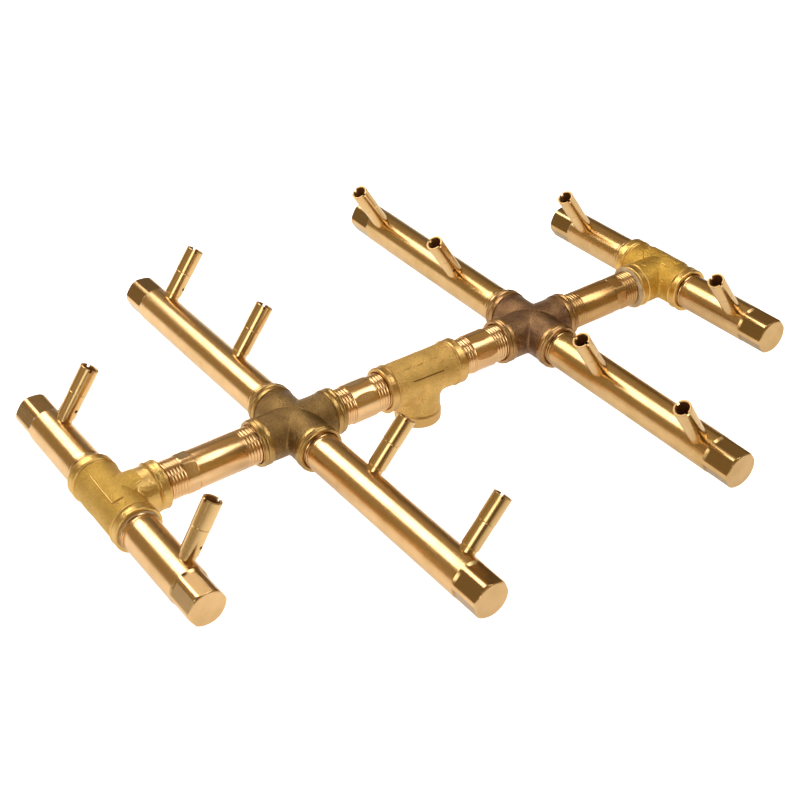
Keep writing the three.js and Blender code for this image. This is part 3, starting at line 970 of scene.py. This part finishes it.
CENTRE_LINES = [
    (np.array([(-6.0, -12.7, -7.4), (-5.7, -12.7, -10.2)]), 0.5),
    (on_run(ACROSS_AXES, [(-14.0, 22), (-9.5, 24), (-8.5, 20)]), 0.3),
    (on_run(ACROSS_AXES, [(-5.5, 26), (-1.0, 24)]), 0.34),
    (on_run(ACROSS_AXES, [(2.5, 28), (5.0, 22), (9.0, 25)]), 0.3),
    (on_run(ACROSS_AXES, [(8.0, 42), (12.6, 36)]), 0.32),
]
CENTRE_SCORES = [
    (on_run(ACROSS_AXES, [(-11.8, 60), (-4.0, 61.4), (10.2, 63)]), 0.4),
    (on_run(ACROSS_AXES, [(11.6, 58.4), (12.4, 57.6)]), 0.45),
]


# ---- The pieces ----

def tee_collars(run_axis, run, branch_axis, branch, branch_collar=TEE_COLLAR):
    """The turned collars of a tee's two run ends and its branch."""
    return [(TEE_COLLAR, run_axis, run), (TEE_COLLAR, -run_axis, run), (branch_collar, branch_axis, branch)]


def add_center_tee():
    add_fitting("center_tee", "tee_brass", fitting_place(0), MATERIALS["tee"],
                reach=(TEE_RUN, 14, TEE_BRANCH),
                ports=[Port(X, TEE_RUN, True), Port(-Z, TEE_BRANCH, False)],
                collars=tee_collars(X, TEE_RUN, -Z, TEE_BRANCH, INLET_COLLAR),
                blend=5.0, relief=centre_tee_relief, lines=CENTRE_LINES, scores=CENTRE_SCORES)


def add_cross(side, at, material):
    add_fitting(f"cross_{side}", "cross_brass", at, material,
                reach=(CROSS_RUN, CROSS_RUN, 14),
                ports=[Port(X, CROSS_RUN, True), Port(Y, CROSS_RUN, True)],
                collars=[(CROSS_COLLAR, axis, CROSS_RUN) for axis in (X, -X, Y, -Y)],
                blend=1.7, relief=cross_relief(11 + SIGN[side]))


def add_end_tee(side, at, material, **finish):
    inwards = -SIGN[side] * X
    add_fitting(f"end_tee_{side}", "tee_brass", at, material,
                reach=(END_BRANCH, END_RUN, 15),
                ports=[Port(Y, END_RUN, True), Port(inwards, END_BRANCH, False)],
                collars=tee_collars(Y, END_RUN, inwards, END_BRANCH), blend=1.8, **finish)


def build():
    finish = {
        "left": {"relief": left_tee_relief, "lines": LEFT_LINES, "machined": left_branch_machined},
        "right": {"relief": right_tee_relief, "lines": RIGHT_LINES},
    }
    beads = {"left": ("front", END_RUN, 0.25), "right": ("left", END_BRANCH, 1.5)}
    tints = {
        "left": {"cross": "cross", "tee": "tee_left", "nipple": "nipple", "arm": "arm"},
        "right": {"cross": "cross_right", "tee": "tee_right", "nipple": "nipple_right", "arm": "arm_right"},
    }
    add_center_tee()
    for side in ("left", "right"):
        tint = {piece: MATERIALS[key] for piece, key in tints[side].items()}
        cross_at = fitting_place(SIGN[side] * CROSS_X)
        end_at = fitting_place(END_TEE_X[side], END_TEE_ROLL[side], END_TEE_YAW[side])
        add_cross(side, cross_at, tint["cross"])
        add_end_tee(side, end_at, tint["tee"], **finish[side])
        port, face, swell = beads[side]
        add_seal(f"end_tee_{side}", port, end_at, face, swell)
        add_short_nipple(side, MATERIALS["nipple"])
        add_long_nipple(side, tint["nipple"])
        for end in ("rear", "front"):
            add_arm("long", side, end, CROSS_RUN, cross_at, tint["arm"])
            add_arm("short", side, end, END_RUN, end_at, tint["arm"])


build()


# ---- Light, floor and camera ----

def area_light(name, at, heading, size, power, tint):
    data = bpy.data.lights.new(name, "AREA")
    data.shape = "RECTANGLE"
    data.size, data.size_y = size
    data.energy = power
    data.color = tint
    light = show(name, data)
    light.location = at
    light.rotation_euler = (0, 0, math.radians(heading))
    return light


def lobe(n, where, total, azimuth, elevation, inner, outer, radiance):
    """Adds a soft round patch of surroundings, seen in the direction given."""
    a, e = math.radians(azimuth), math.radians(elevation)
    aim = (math.sin(a) * math.cos(e), math.cos(a) * math.cos(e), math.sin(e))
    nearness = n.vector_maths("DOT_PRODUCT", {0: where, 1: aim})["Value"]
    edge, core = math.cos(math.radians(outer)), math.cos(math.radians(inner))
    fade = n.ramp(nearness, edge, core, interpolation_type="SMOOTHSTEP")
    patch = n.vector_maths("SCALE", {0: radiance, "Scale": fade})["Vector"]
    return n.vector_maths("ADD", {0: total, 1: patch})["Vector"]


SURROUNDINGS = [  # azimuth, elevation, inner and outer edge in degrees, and radiance
    (-45, 15, 10, 60, (0.22, 0.16, 0.075)),
    (40, 55, 8, 36, (0.27, 0.20, 0.11)),
    (160, 20, 5, 42, (0.24, 0.17, 0.05)),
    (-95, 5, 10, 42, (0.2, 0.18, 0.14)),
    (25, 0, 8, 28, (0.25, 0.27, 0.28)),
]
AMBIENT = (0.14, 0.10, 0.05)


def light_world():
    world = bpy.data.worlds.new("studio")
    bpy.context.scene.world = world
    n = Nodes(world)
    where = n.add("ShaderNodeTexCoord").outputs["Generated"]
    total = n.add("ShaderNodeCombineXYZ", dict(enumerate(AMBIENT))).outputs["Vector"]
    for patch in SURROUNDINGS:
        total = lobe(n, where, total, *patch)
    n.set(n.tree.nodes["Background"].inputs["Color"], total)


NEUTRAL, WARM = (1.0, 0.98, 0.94), (1.0, 0.97, 0.86)
SOFTBOXES = [  # name, place and heading, size, power and tint
    ("softbox_rear", (-0.214, 0.546, 0.677), 10, (0.50, 0.65), 4.7, NEUTRAL),
    ("softbox_front", (0.29, -0.25, 0.677), -20, (0.44, 0.44), 2.2, NEUTRAL),
    ("softbox_right", (0.62, -0.22, 0.677), 0, (0.24, 0.30), 0.3, WARM),
]
CARD_AT, CARD_AIM = (-0.80, -0.50, 0.37), (-0.08, -0.14, 0.04)
CARDS = [("card_left", (0.30, 0.34), 1.0), ("card_left_halo", (0.62, 0.46), 0.7)]


def light_scene():
    light_world()
    for softbox in SOFTBOXES:
        area_light(*softbox)
    for name, size, power in CARDS:
        card = area_light(name, CARD_AT, 0, size, power, WARM)
        card.rotation_euler = (Vector(CARD_AIM) - card.location).to_track_quat("-Z", "Y").to_euler()


FLOOR_SIZE = 60.0
FLOOR_GLOW = 0.46


def add_floor():
    """A white sweep, glowing evenly white to the camera. The glow the brass sees is a painted pool of light
    that fades to the front and right, as under a softbox.
    """
    corners = [(-1, -1, 0), (1, -1, 0), (1, 1, 0), (-1, 1, 0)]
    mesh = mesh_of("floor", np.array(corners) * FLOOR_SIZE / MM, [(0, 1, 2, 3)], np.eye(4))
    floor = show("floor", mesh)
    n = Surface("floor")
    x, y, _ = n.split(n.add("ShaderNodeNewGeometry").outputs["Position"])
    to_front = n.ramp(y, -0.36, -0.13, (0.25, 1.0))
    to_right = n.ramp(x, -0.17, 0.21, (1.14, 0.76))
    # painted light: the floor's glow as the brass sees it, brightest near the back left
    glow = n.maths("MULTIPLY", n.maths("MULTIPLY", to_front, to_right), FLOOR_GLOW)
    seen = n.add("ShaderNodeLightPath").outputs["Is Camera Ray"]
    strength = n.add("ShaderNodeMix", {0: seen, 2: glow, 3: 1.0}).outputs[0]
    n.shade(emission_color=colour(1, 1, 1), emission_strength=strength,
            base_color=colour(0.8, 0.8, 0.8), roughness=0.9)
    mesh.materials.append(n.owner)


CAMERA_AT = (-433.34, -567.39, 493.86 + AXIS_HEIGHT)
CAMERA_AZIMUTH, CAMERA_ELEVATION, CAMERA_ROLL = -36.564, 35.594, 0.300


def add_camera():
    data = bpy.data.cameras.new("camera")
    data.sensor_width = 36.0
    data.lens = 69.63
    data.clip_start, data.clip_end = 0.05, 30.0
    camera = show("camera", data)
    a, e, roll = (math.radians(v) for v in (CAMERA_AZIMUTH, CAMERA_ELEVATION, CAMERA_ROLL))
    back = np.array([math.sin(a) * math.cos(e), -math.cos(a) * math.cos(e), math.sin(e)])
    right = np.cross(Z, back)
    right /= np.linalg.norm(right)
    up = np.cross(back, right)
    rolled_right = right * math.cos(roll) + up * math.sin(roll)
    rolled_up = up * math.cos(roll) - right * math.sin(roll)
    axes = np.stack([rolled_right, rolled_up, back], axis=1)
    camera.matrix_world = Matrix(place(axes, np.array(CAMERA_AT) * MM).tolist())
    bpy.context.scene.camera = camera


light_scene()
add_floor()
add_camera()
bpy.context.scene.view_settings.view_transform = "Standard"

for name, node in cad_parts.items():
    if name.startswith("sealant"):
        node.data.materials.clear()
        node.data.materials.append(MATERIALS["seal"])
